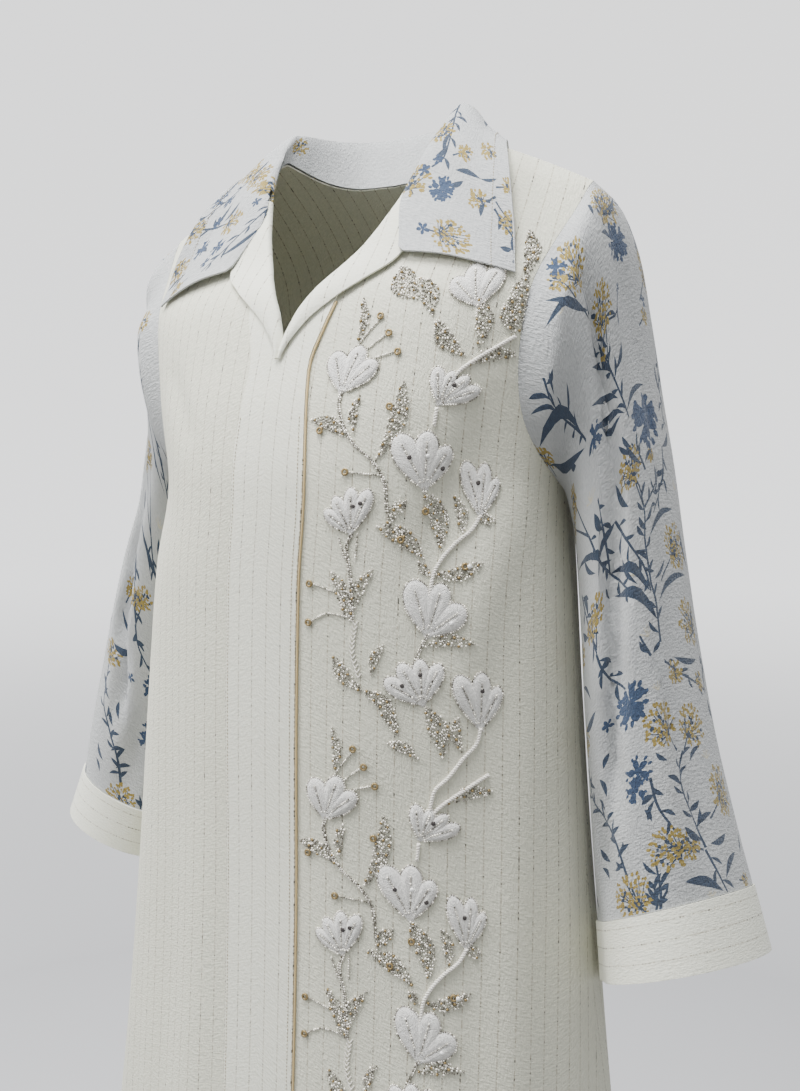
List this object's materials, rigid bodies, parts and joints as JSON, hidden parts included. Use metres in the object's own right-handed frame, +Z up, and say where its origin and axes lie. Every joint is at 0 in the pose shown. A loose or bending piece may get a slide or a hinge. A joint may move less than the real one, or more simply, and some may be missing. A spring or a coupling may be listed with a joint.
{
  "type": "worn jalabiya",
  "caption": "Long loose robe, hollow as worn: V neck, turned-down printed collar, covered front placket, printed flared sleeves with plain cuffs, raised flowers on one front.",
  "frame": {"origin": "midway between the two side neck points, where the wearer's shoulders and neck hold the garment", "axes": "+Z up along the wearer, -Y to the front, +X to the wearer's left"},
  "size_m": [0.65, 0.4005, 1.4262],
  "materials": {
    "cream_cloth": "matte crepe weave with fine dotted stripes",
    "printed_cloth": "matte printed weave",
    "beige_piping": "matte cord"
  },
  "bodies": {
    "root": {"front_right": "cream_cloth", "front_left": "cream_cloth", "back": "cream_cloth", "placket": "cream_cloth", "placket_piping": "beige_piping", "lapel_right": "cream_cloth", "lapel_left": "cream_cloth", "collar": "printed_cloth", "sleeve_right": "printed_cloth", "sleeve_left": "printed_cloth", "cuff_right": "cream_cloth", "cuff_left": "cream_cloth"}
  },
  "joints": []
}
